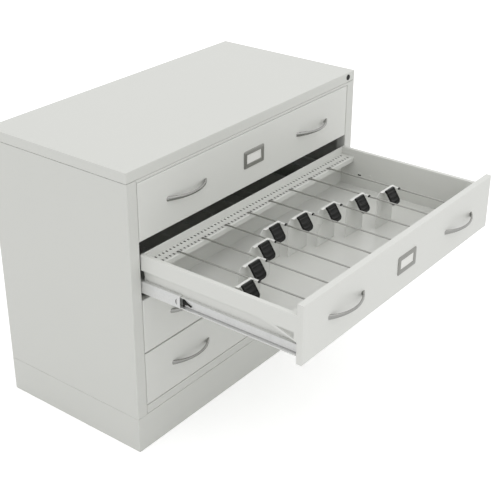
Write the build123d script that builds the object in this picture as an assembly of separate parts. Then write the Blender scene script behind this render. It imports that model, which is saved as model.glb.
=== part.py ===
"""Four-drawer microfiche cabinet in folded sheet steel, with its second drawer pulled right out.

Millimetres. +X is the cabinet's right as one faces it, +Y runs from the front to the back, +Z is up.
The origin is on the floor under the middle of the casework. Every drawer is drawn in its own frame
(x across, y back from the face of its front, z up from the lower edge of its front) and is then placed.
"""

import os

from build123d import *

# ---------------------------------------------------------------- casework
cabinet_width = 914.0
cabinet_depth = 457.0
cabinet_height = 750.0
case_sheet = 1.5
bend_radius = 2.5
lip_height = 26.0
lip_reveal = 1.5
reveal_depth = 2.0
head_height = 34.0
plinth_height = 98.0
base_reveal = 0.8
bottom_rail_height = 24.0
bottom_rail_depth = 14.0
stile_width = 33.0
stile_return = 27.0
case_flange = 16.0
upright_width = 24.0
upright_inset = 18.0
corner_radius = 2.0

# ---------------------------------------------------------------- base
glide_inset = 42.0
glide_pad_diameter = 30.0
glide_pad_thickness = 7.0
glide_stem_diameter = 10.0
glide_stem_length = 34.0
glide_stem_facets = 12
glide_hole_clearance = 2.0
glide_thread_clearance = 0.1
glide_bridge_width = 60.0
glide_bridge_depth = 26.0
glide_bridge_height = 22.0
ballast_length = 500.0
ballast_depth = 90.0
ballast_height = 40.0
ballast_back_gap = 14.0

# ---------------------------------------------------------------- drawers
drawer_count = 4
open_drawer = 2
front_gap = 3.0
front_thickness = 15.0
front_edge_radius = 3.0
drawer_sheet = 1.2
drawer_bend_radius = 2.0
rim_drop = 28.0
floor_rise = 8.5
band_above_runner = 26.0
band_clearance = 2.0
band_return_gap = 0.3
box_back_clearance = 6.0
box_kept_in = 1.0
gusset_length = 92.0
gusset_drop = 24.0
gusset_strap = 6.0
gusset_lap = 3.0
gusset_ridge = 1.5
gusset_hole_margin = 8.0
gusset_hole_length = 49.0

# ---------------------------------------------------------------- runners
runner_pack = 12.7
runner_height = 35.0
runner_sheet = 1.3
runner_clearance = 0.4
runner_above_floor = 7.0
runner_front_inset = 18.0
runner_back_inset = 19.0
runner_flange = 9.0
intermediate_inset = 2.0
intermediate_share = 0.3

# ---------------------------------------------------------------- guide rods, their slotted rails, followers
rail_drop = 20.0
rail_depth = 40.0
rail_leg = 14.0
rail_hem = 14.0
rail_end_clearance = 0.3
slot_pitch = 12.7
slot_width = 5.0
slot_length = 8.0
slot_end_margin = 12.0
slot_row_back = 8.0
slot_row_front = 30.0
rod_count = 8
rod_diameter = 4.0
rod_pitch_count = 7
rod_inset_count = 5
rod_seat = 0.05
rod_hook_length = 8.0
rod_facets = 12
follower_sheet = 1.2
follower_side_clearance = 2.2
follower_top_rise = 13.0
follower_floor_clearance = 0.3
follower_flange = 9.0
follower_shoulder = 10.0
ear_width = 9.0
ear_height = 11.0
ear_length = 14.0
ear_clearance = 0.3
strut_width = 38.0
strut_thickness = 5.0
strut_run = 30.0
strut_toe_drop = 20.0
strut_head_rise = 2.0
strut_ridges = 3
follower_places = (213.0, 167.0, 127.0, 92.0, 111.0, 136.0, 164.0, 200.0)

# ---------------------------------------------------------------- handles and label holders
handle_span = 145.0
handle_rise = 25.0
handle_foot_depth = 10.0
handle_foot_height = 12.0
handle_grip_depth = 4.6
handle_grip_height = 7.0
handle_place = 0.28
label_width = 81.0
label_height = 46.0
label_thickness = 2.4
label_border = 11.0
label_corner_radius = 3.0
label_lip = 1.0

# ---------------------------------------------------------------- lock
lock_from_side = 32.0
lock_bezel_diameter = 16.0
lock_bezel_thickness = 1.5
lock_body_diameter = 13.0
lock_plug_diameter = 10.0
lock_plug_clearance = 0.08
lock_hole_clearance = 0.15
lock_pin_diameter = 3.0
lock_pin_length = 5.0
lock_lift = 5.0
keyway_width = 1.6
keyway_height = 6.5
keyway_depth = 3.0
bar_width = 12.0
bar_sheet = 3.0
bar_front_gap = 2.5
bar_inset = 4.0
bar_clearance = 1.2
finger_reach = 24.0
finger_height = 4.0
catch_depth = 5.0
catch_length = 5.0
catch_width = 10.0

# ---------------------------------------------------------------- derived places
half_width = cabinet_width / 2
front_plane = -cabinet_depth / 2
back_plane = cabinet_depth / 2
bay_half = half_width - stile_width
bay_bottom = plinth_height + bottom_rail_height
bay_pitch = (cabinet_height - head_height - bay_bottom) / drawer_count
side_top = cabinet_height - lip_height - lip_reveal

front_half = bay_half - front_gap / 2
front_height = bay_pitch - front_gap
rim_height = front_height - rim_drop
wall_outside = bay_half - runner_pack
wall_inside = wall_outside - drawer_sheet
band_outside = bay_half - band_clearance
box_back = cabinet_depth - box_back_clearance
drawer_travel = box_back - box_kept_in
floor_top = floor_rise + drawer_sheet
runner_bottom = floor_rise + runner_above_floor
runner_length = cabinet_depth - runner_front_inset - runner_back_inset
band_low = runner_bottom + runner_height + band_above_runner
rail_top = rim_height - rail_drop
rod_axis = rail_top + rod_diameter / 2 + rod_seat
rail_back_edge = box_back - drawer_sheet
rear_rail_front = rail_back_edge - rail_depth
front_rail_back = front_thickness + rail_depth

lock_x = half_width - lock_from_side
lock_z = cabinet_height - lip_height / 2
bar_front = front_plane + front_thickness + bar_front_gap
bar_back = bar_front + bar_sheet
catch_bottom = floor_rise - catch_depth
finger_top = catch_bottom - bar_clearance


def drawer_bottom(number):
    """Height of the lower edge of a drawer's front; drawer 1 is the top one."""
    return bay_bottom + front_gap / 2 + (drawer_count - number) * bay_pitch


def drawer_offset(number):
    """How far a drawer stands out of the casework as drawn."""
    return drawer_travel if number == open_drawer else 0.0


def block(x, y, z):
    """A rectangular block between the given (low, high) pairs."""
    size = [pair[1] - pair[0] for pair in (x, y, z)]
    centre = [(pair[0] + pair[1]) / 2 for pair in (x, y, z)]
    return Pos(*centre) * Box(*size)


def across(half):
    """The pair (-half, half)."""
    return (-half, half)


def folded(points, sheet, radius, plane, length):
    """Folded sheet: its outer line, with the metal on the right of the way along it, run along the plane's normal."""
    line = FilletPolyline(*points, radius=radius) if radius else Polyline(*points)
    profile = make_face(offset(line, amount=sheet, side=Side.RIGHT, kind=Kind.INTERSECTION))
    return extrude(plane * profile, amount=length)


def prism(diameter, sides, height):
    """An upright prism with its corners on a circle, centred on the origin."""
    return extrude(RegularPolygon(diameter / 2, sides), amount=height / 2, both=True)


def both_sides(solid):
    """A right-hand piece and its left-hand twin."""
    return [solid, mirror(solid, about=Plane.YZ)]


# ---------------------------------------------------------------- casework pieces


def make_top_shell():
    shell = block(across(half_width), (front_plane, back_plane), (cabinet_height - lip_height, cabinet_height))
    shell = fillet(shell.edges().filter_by(Axis.Z), corner_radius)
    shell = chamfer(shell.edges().group_by(Axis.Z)[-1], corner_radius / 2)
    inside = (front_plane + case_sheet, back_plane - case_sheet)
    shell -= block(across(half_width - case_sheet), inside, (0, cabinet_height - case_sheet))
    return shell - lock_bore()


def lock_bore():
    """The hole for the lock's body through the lip and the frame behind it."""
    radius = lock_body_diameter / 2 + lock_hole_clearance
    return Pos(lock_x, front_plane, lock_z) * Rot(X=90) * Cylinder(radius, 4 * front_thickness)


def make_top_frame():
    """The ring that carries the top shell, with the narrow rail that heads the drawer openings."""
    outer = reveal_depth
    inner = reveal_depth + case_sheet
    ring_z = (side_top, cabinet_height - case_sheet)
    ring = block(across(half_width - outer), (front_plane + outer, back_plane - outer), ring_z)
    ring -= block(
        across(half_width - inner),
        (front_plane + inner, back_plane - inner),
        (side_top + case_sheet, cabinet_height),
    )
    inner += case_flange
    ring -= block(across(half_width - inner), (front_plane + inner, back_plane - inner), (0, cabinet_height))
    rail_low = cabinet_height - head_height
    angle = [(front_plane, rail_low), (front_plane, side_top), (front_plane + case_flange, side_top)]
    rail = folded(angle, case_sheet, bend_radius, Plane.YZ.offset(-bay_half), 2 * bay_half)
    return ring + rail - lock_bore() - bar_slot(side_top)


def bar_slot(z):
    """Clearance for the lock bar through a horizontal flange."""
    x = (bay_half - finger_reach / 2, bay_half + bar_inset + bar_width + bar_clearance)
    return block(x, (bar_front - bar_clearance, bar_back + bar_clearance), (z - 2 * case_sheet, z + 2 * case_sheet))


def make_side_panel():
    """Right-hand side: outer wall, front stile with its return, back flange and top flange in one sheet."""
    outline = [
        (half_width - case_flange, back_plane),
        (half_width, back_plane),
        (half_width, front_plane),
        (bay_half, front_plane),
        (bay_half, front_plane + stile_return),
    ]
    panel = folded(outline, case_sheet, bend_radius, Plane.XY.offset(plinth_height), side_top - plinth_height)
    flange_x = (half_width - case_flange, half_width - case_sheet)
    flange_y = (front_plane + stile_return, back_plane - 2 * case_sheet)
    return panel + block(flange_x, flange_y, (side_top - case_sheet, side_top))


def finger_slots():
    """One slot per drawer through the right stile's return, where the lock fingers reach in."""
    slots = []
    for number in range(1, drawer_count + 1):
        top = drawer_bottom(number) + finger_top + lock_lift + bar_clearance
        low = drawer_bottom(number) + finger_top - finger_height - bar_clearance
        x = (bay_half - case_sheet, bay_half + 2 * case_sheet)
        slots.append(block(x, (bar_front - bar_clearance, bar_back + bar_clearance), (low, top)))
    return slots


def make_rear_upright():
    """Right-hand hat channel that carries the back ends of the runners."""
    back = back_plane - upright_inset
    outline = [
        (half_width - case_sheet, back),
        (bay_half, back),
        (bay_half, back - upright_width),
        (half_width - case_sheet, back - upright_width),
    ]
    outline.reverse()
    low = plinth_height + case_sheet
    return folded(outline, case_sheet, 0, Plane.XY.offset(low), side_top - case_sheet - low)


def make_back_panel():
    y = (back_plane - 2 * case_sheet, back_plane - case_sheet)
    return block(across(half_width - 2 * bend_radius), y, (plinth_height + case_sheet, side_top))


def make_bottom_pan():
    """Floor of the casework, folded up at the front into the rail below the lowest drawer."""
    level = (plinth_height, plinth_height + case_sheet)
    behind_stile = front_plane + stile_return
    pan = block(across(half_width - case_sheet), (behind_stile, back_plane - 2 * case_sheet), level)
    outline = [
        (front_plane + stile_return + 1, plinth_height),
        (front_plane, plinth_height),
        (front_plane, bay_bottom),
        (front_plane + bottom_rail_depth, bay_bottom),
    ]
    return pan + folded(outline, case_sheet, bend_radius, Plane.YZ.offset(-bay_half), 2 * bay_half)


def make_base():
    """Plinth tray: a closed floor, four walls, an inset seat for the casework and four glide bridges."""
    wall_top = plinth_height - base_reveal
    tray = block(across(half_width), (front_plane, back_plane), (0, wall_top))
    tray = fillet(tray.edges().filter_by(Axis.Z), corner_radius)
    inside = (front_plane + case_sheet, back_plane - case_sheet)
    tray -= block(across(half_width - case_sheet), inside, (case_sheet, cabinet_height))
    seat_edge = case_sheet - 0.3
    seat_inner = case_sheet + case_flange
    seat = block(
        across(half_width - seat_edge),
        (front_plane + seat_edge, back_plane - seat_edge),
        (plinth_height - case_sheet, plinth_height),
    )
    seat -= block(across(half_width - seat_inner), (front_plane + seat_inner, back_plane - seat_inner), (0, cabinet_height))
    tray += seat
    hole = prism(glide_pad_diameter + 2 * glide_hole_clearance, 6, 4 * case_sheet)
    thread = prism(glide_stem_diameter + 2 * glide_thread_clearance, glide_stem_facets, 4 * case_sheet)
    for x, y in glide_places():
        tray -= Pos(x, y, 0) * hole
        tray += glide_bridge(x, y)
        tray -= Pos(x, y, glide_bridge_height) * thread
    return tray


def glide_places():
    """Centres of the four levelling glides."""
    x = half_width - glide_inset
    y = back_plane - glide_inset
    return [(-x, -y), (x, -y), (-x, y), (x, y)]


def glide_bridge(x, y):
    """Hat bracket over a glide's hole, which holds the glide's thread."""
    half = glide_bridge_width / 2
    top = glide_bridge_height
    foot = half + case_flange / 2
    outline = [(-foot, case_sheet * 2), (-half, case_sheet * 2), (-half, top), (half, top)]
    outline += [(half, case_sheet * 2), (foot, case_sheet * 2)]
    hat = folded(outline, case_sheet, 0, Plane.XZ.offset(-glide_bridge_depth / 2), glide_bridge_depth)
    return Pos(x, y, 0) * hat


def make_levelling_glides():
    pad = Pos(0, 0, glide_pad_thickness / 2) * prism(glide_pad_diameter, 6, glide_pad_thickness)
    stem = Pos(0, 0, glide_stem_length / 2) * prism(glide_stem_diameter, glide_stem_facets, glide_stem_length)
    glide = pad + stem
    return [Pos(x, y, 0) * glide for x, y in glide_places()]


def make_ballast():
    y = (back_plane - ballast_back_gap - ballast_depth, back_plane - ballast_back_gap)
    slab = block(across(ballast_length / 2), y, (case_sheet, case_sheet + ballast_height))
    return chamfer(slab.edges().group_by(Axis.Z)[-1], corner_radius)


# ---------------------------------------------------------------- runners


def channel(web_x, flange_x, low, high, start, length):
    """A runner member: a web with a flange top and bottom, open towards flange_x."""
    sheet = runner_sheet if flange_x < web_x else -runner_sheet
    y = (start, start + length)
    outer = block(sorted((web_x, flange_x)), y, (low, high))
    hollow = block(sorted((web_x - sheet, flange_x - sheet)), y, (low + runner_sheet, high - runner_sheet))
    member = outer - hollow
    rolled = member.edges().filter_by(Axis.Y).group_by(Axis.X)[-1 if flange_x < web_x else 0]
    return chamfer(rolled, runner_sheet * 0.9)


step = runner_sheet + runner_clearance


def make_cabinet_member(number):
    """The runner's outer member, fixed to the stile's return and the rear upright."""
    low = drawer_bottom(number) + runner_bottom
    start = front_plane + runner_front_inset
    return channel(bay_half, bay_half - runner_flange, low, low + runner_height, start, runner_length)


def make_intermediate_member(number):
    """The member between: it moves a share of the drawer's travel."""
    low = drawer_bottom(number) + runner_bottom + step
    high = low + runner_height - 2 * step
    start = front_plane + runner_front_inset + intermediate_inset - intermediate_share * drawer_offset(number)
    length = runner_length - 2 * intermediate_inset
    return channel(bay_half - step, wall_outside + step, low, high, start, length)


def make_drawer_member(number):
    """The inner member, fixed to the drawer's side."""
    low = drawer_bottom(number) + runner_bottom + 2 * step
    high = low + runner_height - 4 * step
    start = front_plane + runner_front_inset - drawer_offset(number)
    return channel(wall_outside, bay_half - 2 * step, low, high, start, runner_length)


# ---------------------------------------------------------------- drawer pieces, in the drawer's own frame


def make_drawer_front():
    """Hollow front: outer pan, turned edges and inner liner, with the lower hem left open between them."""
    front = block(across(front_half), (0, front_thickness), (0, front_height))
    front = fillet(front.faces().sort_by(Axis.Y)[0].edges(), front_edge_radius)
    sheet = drawer_sheet
    hollow_y = (sheet, front_thickness - sheet)
    front -= block(across(front_half - sheet), hollow_y, (sheet, front_height - sheet))
    hem = 2 * front_edge_radius
    front -= block(across(front_half - hem), (hem, front_thickness - sheet), (-sheet, 2 * sheet))
    return front


def make_drawer_box(radius):
    """Sides and floor from one sheet, with the rims boxed out over the runners, and the back let in."""
    length = box_back - front_thickness
    return_x = wall_outside + drawer_sheet + band_return_gap
    right = [
        (wall_inside, floor_top),
        (wall_inside, rim_height),
        (band_outside, rim_height),
        (band_outside, band_low),
        (return_x, band_low),
    ]
    left = [(-x, z) for x, z in reversed(right)]
    box = folded(left + right, drawer_sheet, radius, Plane.XZ.offset(-box_back), length)
    back = block(across(wall_inside), (box_back - drawer_sheet, box_back), (floor_top, rim_height))
    catch_y = bar_back - front_plane + bar_clearance
    catch_x = (bay_half - finger_reach, bay_half - finger_reach + catch_width)
    catch = block(catch_x, (catch_y, catch_y + catch_length), (catch_bottom, floor_rise + drawer_sheet / 2))
    box = box + back + catch
    for gusset in both_sides(make_gusset()):
        box += gusset
    return box


def make_gusset():
    """The band's lower edge flares down to meet the front, with a pierced triangle behind the strap."""
    start = front_thickness
    end = start + gusset_length
    top = band_low + gusset_lap
    foot = band_low - gusset_drop
    outline = [(start, top), (end, top), (end, band_low), (start, foot)]
    hole_start = start + gusset_hole_margin
    hole_top = band_low - gusset_ridge
    hole = [(hole_start, hole_top), (hole_start + gusset_hole_length, hole_top), (hole_start, foot + gusset_strap)]
    plane = Plane.YZ.offset(band_outside - drawer_sheet)
    plate = extrude(plane * make_face(Polyline(*outline, close=True)), amount=drawer_sheet)
    return plate - extrude(plane * make_face(Polyline(*hole, close=True)), amount=drawer_sheet)


def make_rail(slots, rows, radius):
    """Rear slotted rail against the drawer's back: leg, ledge and front hem."""
    half = wall_inside - rail_end_clearance
    outline = [
        (rear_rail_front, rail_top - rail_hem),
        (rear_rail_front, rail_top),
        (rail_back_edge, rail_top),
        (rail_back_edge, rail_top - rail_leg),
    ]
    rail = folded(outline, drawer_sheet, radius, Plane.YZ.offset(-half), 2 * half)
    punch = []
    for row in rows:
        y = rail_back_edge - row
        span_y = (y - slot_length / 2, y + slot_length / 2)
        for place in slots:
            x = place * slot_pitch
            punch.append(block((x - slot_width / 2, x + slot_width / 2), span_y, (rail_top - 5, rail_top + 5)))
    return rail - punch if punch else rail


def all_slots():
    """Slot numbers along a rail, counted from the middle of the drawer."""
    last = int((wall_inside - slot_end_margin) / slot_pitch)
    return list(range(-last, last + 1))


def slots_in_use():
    """Slot numbers that the rods hook into, counted in from the left wall."""
    return all_slots()[rod_inset_count :: rod_pitch_count][:rod_count]


def mirrored_to_front(solid):
    """The same piece turned end for end, against the drawer's front."""
    middle = (front_thickness + rail_back_edge) / 2
    return mirror(solid, about=Plane.XZ.offset(-middle))


def make_rods(hooked):
    """Guide rods laid on both rails, hooked down through the rear rail's front row and the front rail's slots."""
    back_y = rail_back_edge - slot_row_front
    front_y = front_thickness + slot_row_back
    path = [(0, back_y, 0), (0, front_y, 0)]
    if hooked:
        path = [(0, back_y, -rod_hook_length)] + path + [(0, front_y, -rod_hook_length)]
    start = Plane(path[0], z_dir=Vector(*path[1]) - Vector(*path[0]))
    section = start * RegularPolygon(rod_diameter / 2, rod_facets)
    rod = sweep(section, Polyline(*path), transition=Transition.RIGHT)
    return [Pos(place * slot_pitch, 0, rod_axis) * rod for place in slots_in_use()]


def bow_arc(foot, rise, beyond):
    """Arc that stands on the face at its two feet, carried on to a line behind the face."""
    radius = (foot**2 + rise**2) / (2 * abs(rise))
    reach = (radius**2 - (radius - rise - beyond) ** 2) ** 0.5
    end = reach if foot > 0 else -reach
    return ThreePointArc((-end, beyond), (0, -rise), (end, beyond))


def make_handle(side):
    """Tapered bow: a crescent in plan cut by a waisted outline from the front, with its long edges rounded."""
    foot = handle_span / 2
    beyond = 6.0
    outer = bow_arc(foot, handle_rise, beyond)
    inner = bow_arc(handle_foot_depth - foot, handle_rise - handle_grip_depth, beyond)
    plan = make_face(Curve() + [outer, Line(outer @ 1, inner @ 0), inner, Line(inner @ 1, outer @ 0)])
    crescent = extrude(plan, amount=handle_foot_height, both=True)
    waist = handle_grip_height / 2
    wide = foot + 2 * beyond
    tall = waist + (handle_foot_height / 2 - waist) * (wide / foot) ** 2
    upper = ThreePointArc((-wide, tall), (0, waist), (wide, tall))
    lower = ThreePointArc((wide, -tall), (0, -waist), (-wide, -tall))
    face = make_face(Curve() + [upper, Line(upper @ 1, lower @ 0), lower, Line(lower @ 1, upper @ 0)])
    bow = crescent & extrude(Plane.XZ * face, amount=2 * handle_rise, both=True)
    long_edges = [edge for edge in bow.edges() if edge.length > handle_span / 2]
    bow = chamfer(long_edges, handle_grip_depth * 0.3)
    bow -= block(across(wide), (0, 4 * beyond), across(handle_foot_height))
    return Pos(side * handle_place * cabinet_width, 0, front_height / 2) * bow


def make_label_holder():
    """Card frame: rounded border, window and the thin lip that keeps the card in."""
    plate = extrude(RectangleRounded(label_width, label_height, label_corner_radius), amount=label_thickness)
    window = (label_width - 2 * label_border, label_height - 2 * label_border)
    plate -= extrude(Rectangle(*window), amount=label_thickness)
    pocket = Rectangle(window[0] + 4 * label_lip, window[1] + 4 * label_lip)
    plate -= extrude(pocket, amount=label_thickness - label_lip)
    return Plane((0, 0, front_height / 2), x_dir=(1, 0, 0), z_dir=(0, -1, 0)) * plate


# ---------------------------------------------------------------- followers, in the drawer's own frame


def column_edges(index):
    """Inner faces of the column that a follower works in: the drawer's wall or a rod on each side."""
    right = slots_in_use()[index] * slot_pitch - rod_diameter / 2
    if index == 0:
        return -wall_inside, right
    return slots_in_use()[index - 1] * slot_pitch + rod_diameter / 2, right


def follower_y(index):
    """Distance from the rear rail's edge forward to the plate of a follower."""
    return rear_rail_front - follower_places[index]


def make_follower_plate(index):
    """Upright plate between two rods, with a flanged top, drawn-in shoulders and an ear over the right rod."""
    left, right = column_edges(index)
    left += follower_side_clearance
    right -= follower_side_clearance
    low = floor_top + follower_floor_clearance
    high = rod_axis + follower_top_rise
    y = follower_y(index)
    outline = [
        (left, low),
        (left, high - follower_shoulder),
        (left + follower_shoulder, high),
        (right - follower_shoulder, high),
        (right, high - follower_shoulder),
        (right, low),
    ]
    plate = extrude(Plane.XZ.offset(-y) * make_face(Polyline(*outline, close=True)), amount=follower_sheet)
    top_x = (left + follower_shoulder, right - follower_shoulder)
    plate += block(top_x, (y - follower_flange, y), (high - follower_sheet, high))
    return plate + make_ear(right + follower_side_clearance + rod_diameter / 2, right, y)


def make_ear(rod_x, plate_edge, y):
    """Guide ear: a tab that runs out over the rod and down its far side."""
    reach = rod_diameter / 2 + ear_clearance
    over = rod_axis + reach
    span_y = (y - ear_length, y)
    outer = block((plate_edge - follower_sheet, rod_x + reach + follower_sheet), span_y, (rod_axis - 1, over + follower_sheet))
    return outer - block((plate_edge, rod_x + reach), span_y, (0, over))


def make_follower_strut(index):
    """Moulded strut that leans from the plate's top down between the rods, with cross ridges on its face."""
    left, right = column_edges(index)
    y = follower_y(index) - follower_sheet
    high = rod_axis + follower_top_rise + strut_head_rise
    toe = rod_axis - strut_toe_drop
    seat = rod_axis + follower_top_rise - follower_sheet
    outline = [
        (y, seat),
        (y - follower_flange - 0.2, seat),
        (y - follower_flange - 0.2, high),
        (y - follower_flange - strut_thickness, high),
    ]
    ridge_run = (strut_run - 2) / strut_ridges
    ridge_drop = (high - toe) / strut_ridges
    for ridge in range(1, strut_ridges + 1):
        ry = y - follower_flange - strut_thickness - ridge * ridge_run * 0.8
        rz = high - ridge * ridge_drop
        outline += [(ry - 2.0, rz + ridge_drop * 0.45), (ry, rz + 1.5)]
    end_y = y - strut_run - strut_thickness
    outline += [(end_y, toe), (end_y + strut_thickness, toe - 1.5), (y - strut_thickness, seat - 14), (y, seat - 14)]
    middle = (left + right) / 2
    profile = make_face(Polyline(*outline, close=True))
    return extrude(Plane.YZ.offset(middle - strut_width / 2) * profile, amount=strut_width)


# ---------------------------------------------------------------- lock


def make_lock_housing():
    body_length = bar_front - front_plane - 1.0
    bezel = Pos(0, -lock_bezel_thickness / 2, 0) * Rot(X=90) * Cylinder(lock_bezel_diameter / 2, lock_bezel_thickness)
    body = Pos(0, body_length / 2, 0) * Rot(X=90) * Cylinder(lock_body_diameter / 2, body_length)
    bore = Rot(X=90) * Cylinder(lock_plug_diameter / 2 + lock_plug_clearance, 4 * body_length)
    return Pos(lock_x, front_plane, lock_z) * (bezel + body - bore)


def make_lock_plug():
    """The turning core: keyway in its face, and the eccentric pin that lifts the bar behind it."""
    front_y = -lock_bezel_thickness
    back_y = bar_front - front_plane - 0.6
    length = back_y - front_y
    core = Pos(0, (front_y + back_y) / 2, 0) * Rot(X=90) * Cylinder(lock_plug_diameter / 2, length)
    core -= block(across(keyway_width / 2), (front_y, front_y + keyway_depth), across(keyway_height / 2))
    pin = Pos(lock_lift / 2, back_y + lock_pin_length / 2, -lock_lift / 2) * Rot(X=90)
    core += pin * Cylinder(lock_pin_diameter / 2, lock_pin_length)
    return Pos(lock_x, front_plane, lock_z) * core


def make_lock_bar():
    """Upright bar in the right stile: a slotted head behind the lock and one finger under each drawer."""
    bar_x = bay_half + bar_inset
    y = (bar_front, bar_back)
    lowest = drawer_bottom(drawer_count) + finger_top - finger_height
    head = (lock_z - lock_lift / 2 - 5, lock_z - lock_lift / 2 + 5)
    bar = block((bar_x, bar_x + bar_width), y, (lowest, head[1]))
    bar += block((lock_x - 7, bar_x + bar_width), y, head)
    slot_z = (head[0] + 5 - lock_pin_diameter / 2 - 0.3, head[0] + 5 + lock_pin_diameter / 2 + 0.3)
    bar -= block((lock_x - 1, lock_x + lock_lift + 1.6), y, slot_z)
    for number in range(1, drawer_count + 1):
        top = drawer_bottom(number) + finger_top
        bar += block((bay_half - finger_reach, bar_x + bar_width / 2), y, (top - finger_height, top))
    return bar


# ---------------------------------------------------------------- assembly


def placed(solid, number):
    """A piece from a drawer's own frame, put where that drawer stands."""
    return Pos(0, front_plane - drawer_offset(number), drawer_bottom(number)) * solid


def write(name, shape):
    """Write one node: a single solid, or a list of separate solids as one group."""
    if isinstance(shape, (list, tuple)):
        shape = Compound(children=[piece.solids()[0] for piece in shape])
    export_step(shape, f"parts/{name}.step")


def casework():
    side = make_side_panel()
    right = side - finger_slots() - bar_slot(side_top)
    return {
        "top_shell": make_top_shell(),
        "top_frame": make_top_frame(),
        "side_panel_right": right,
        "side_panel_left": mirror(side, about=Plane.YZ),
        "rear_uprights": both_sides(make_rear_upright()),
        "back_panel": make_back_panel(),
        "bottom_pan": make_bottom_pan(),
        "base_plinth": make_base(),
        "levelling_glides": make_levelling_glides(),
        "ballast_slab": make_ballast(),
        "lock_housing": make_lock_housing(),
        "lock_plug": make_lock_plug(),
        "lock_bar": make_lock_bar(),
    }


def runners():
    nodes = {"cabinet_runners": []}
    for number in range(1, drawer_count + 1):
        nodes["cabinet_runners"] += both_sides(make_cabinet_member(number))
        nodes[f"intermediate_runners_{number}"] = both_sides(make_intermediate_member(number))
        nodes[f"drawer_runners_{number}"] = both_sides(make_drawer_member(number))
    return nodes


def drawers():
    front = make_drawer_front()
    open_box = make_drawer_box(drawer_bend_radius)
    closed_box = make_drawer_box(0)
    handles = [make_handle(-1), make_handle(1)]
    label = make_label_holder()
    open_rear = make_rail(all_slots(), (slot_row_back, slot_row_front), drawer_bend_radius)
    open_front = make_rail(slots_in_use(), (slot_row_back,), drawer_bend_radius)
    closed_rail = make_rail([], (), 0)
    nodes = {}
    for number in range(1, drawer_count + 1):
        is_open = number == open_drawer
        nodes[f"drawer_front_{number}"] = placed(front, number)
        nodes[f"drawer_box_{number}"] = placed(open_box if is_open else closed_box, number)
        nodes[f"handles_{number}"] = [placed(handle, number) for handle in handles]
        nodes[f"label_holder_{number}"] = placed(label, number)
        rear = open_rear if is_open else closed_rail
        ahead = mirrored_to_front(open_front if is_open else closed_rail)
        rails = [placed(rear, number), placed(ahead, number)]
        rack = [placed(rod, number) for rod in make_rods(is_open)]
        if is_open:
            nodes["slotted_rails"] = rails
            nodes["guide_rods"] = rack
        else:
            nodes[f"divider_rack_{number}"] = rails + rack
    return nodes


def followers():
    nodes = {}
    for index in range(rod_count):
        nodes[f"follower_plate_{index + 1}"] = placed(make_follower_plate(index), open_drawer)
        nodes[f"follower_strut_{index + 1}"] = placed(make_follower_strut(index), open_drawer)
    return nodes


def main():
    os.makedirs("parts", exist_ok=True)
    for nodes in (casework(), runners(), drawers(), followers()):
        for name, shape in nodes.items():
            write(name, shape)


main()
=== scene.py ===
"""Looks of a microfiche cabinet with four wide drawers: finishes, fittings, light and camera."""

import logging
import math
from dataclasses import dataclass
from enum import Enum
from functools import cached_property
from typing import Iterable, Sequence

import bmesh
import bpy
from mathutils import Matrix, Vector


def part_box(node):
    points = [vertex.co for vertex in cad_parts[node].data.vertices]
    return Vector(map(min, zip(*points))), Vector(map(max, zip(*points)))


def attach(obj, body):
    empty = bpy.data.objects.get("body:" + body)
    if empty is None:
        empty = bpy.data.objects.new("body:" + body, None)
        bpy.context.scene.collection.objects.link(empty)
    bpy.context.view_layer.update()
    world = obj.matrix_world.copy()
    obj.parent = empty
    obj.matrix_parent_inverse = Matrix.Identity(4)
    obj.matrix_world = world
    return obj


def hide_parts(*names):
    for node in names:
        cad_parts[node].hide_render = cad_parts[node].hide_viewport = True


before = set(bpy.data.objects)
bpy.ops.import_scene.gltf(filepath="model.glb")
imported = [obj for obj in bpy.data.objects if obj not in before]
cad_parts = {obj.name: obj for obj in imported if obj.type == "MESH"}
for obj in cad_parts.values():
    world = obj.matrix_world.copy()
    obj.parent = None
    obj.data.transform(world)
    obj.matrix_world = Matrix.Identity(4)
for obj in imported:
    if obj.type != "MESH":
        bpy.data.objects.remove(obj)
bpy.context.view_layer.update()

MM = 0.001
OPEN_DRAWER = 2
DRAWERS = (1, 2, 3, 4)
FOLLOWERS = tuple(range(1, 9))
SIDES = {"right": 1, "left": -1}

log = logging.getLogger("microfiche_cabinet")

Triple = tuple[float, float, float]
Rgb = Triple
Pair = tuple[float, float]
Socketed = object  # a signal, or a plain value of the socket's own kind


# ---------------------------------------------------------------- node graphs


class Signal:
    """A socket of a node tree that can stand in Python arithmetic."""

    def __init__(self, graph: "Graph", socket: bpy.types.NodeSocket) -> None:
        """Keeps the graph and the socket."""
        self.graph = graph
        self.socket = socket

    def maths(self, operation: str, first: Socketed, second: Socketed) -> "Signal":
        """Adds one Math node.

        Args:
            operation: Name of the Math node's operation.
            first: Number or signal for the first socket.
            second: Number or signal for the second socket.

        Returns:
            The result of the operation.
        """
        return self.graph.node("ShaderNodeMath", {"operation": operation}, {0: first, 1: second})["Value"]

    def __add__(self, other: Socketed) -> "Signal":
        """Sum of this signal and another value."""
        return self.maths("ADD", self, other)

    def __radd__(self, other: Socketed) -> "Signal":
        """Sum with the value on the left."""
        return self.maths("ADD", other, self)

    def __sub__(self, other: Socketed) -> "Signal":
        """This signal less another value."""
        return self.maths("SUBTRACT", self, other)

    def __rsub__(self, other: Socketed) -> "Signal":
        """A value less this signal."""
        return self.maths("SUBTRACT", other, self)

    def __mul__(self, other: Socketed) -> "Signal":
        """Product of this signal and another value."""
        return self.maths("MULTIPLY", self, other)

    def __rmul__(self, other: Socketed) -> "Signal":
        """Product with the value on the left."""
        return self.maths("MULTIPLY", other, self)


class Step:
    """A node that has been placed, whose outputs are read by name."""

    def __init__(self, graph: "Graph", made: bpy.types.Node) -> None:
        """Keeps the graph and the node."""
        self.graph = graph
        self.made = made

    def __getitem__(self, key: str | int) -> Signal:
        """The output of that name, identifier or place."""
        return Signal(self.graph, Graph.pick(self.made.outputs, key))


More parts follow.
